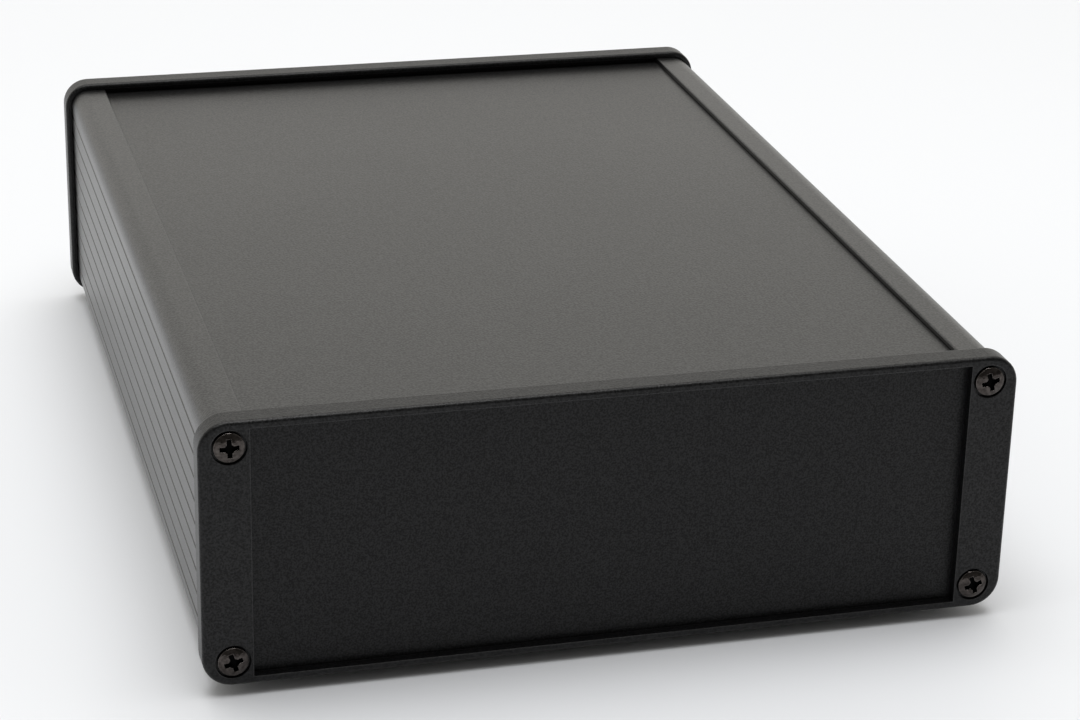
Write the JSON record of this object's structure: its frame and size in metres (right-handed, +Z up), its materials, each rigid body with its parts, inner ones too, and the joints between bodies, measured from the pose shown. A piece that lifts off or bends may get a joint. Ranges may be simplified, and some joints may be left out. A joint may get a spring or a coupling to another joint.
{
  "type": "extruded aluminium enclosure",
  "caption": "Low black box for electronics: a grooved extruded shell with a slide-in cover plate, a screwed bezel over a plain panel at each end, and rubber feet.",
  "frame": {"origin": "on the surface that the feet stand on, under the middle of the box", "axes": "+Z up; -Y out of the front panel; +Y along the length to the rear panel; X across the width"},
  "size_m": [0.165, 0.2212, 0.0581],
  "materials": {
    "shell": "black satin coating with a fine texture",
    "cover": "black satin coating with a fine texture",
    "bezel": "black, fine moulded texture",
    "panel": "black satin coating with a fine texture",
    "screw": "black zinc plating, half gloss",
    "foot": "matt black rubber"
  },
  "bodies": {
    "root": {"body": "shell", "cover_plate": "cover", "front_bezel": "bezel", "rear_bezel": "bezel", "front_panel": "panel", "rear_panel": "panel", "screw_front_left_low": "screw", "screw_front_left_high": "screw", "screw_front_right_low": "screw", "screw_front_right_high": "screw", "screw_rear_left_low": "screw", "screw_rear_left_high": "screw", "screw_rear_right_low": "screw", "screw_rear_right_high": "screw", "foot_front_left": "foot", "foot_front_right": "foot", "foot_rear_left": "foot", "foot_rear_right": "foot"}
  },
  "joints": []
}
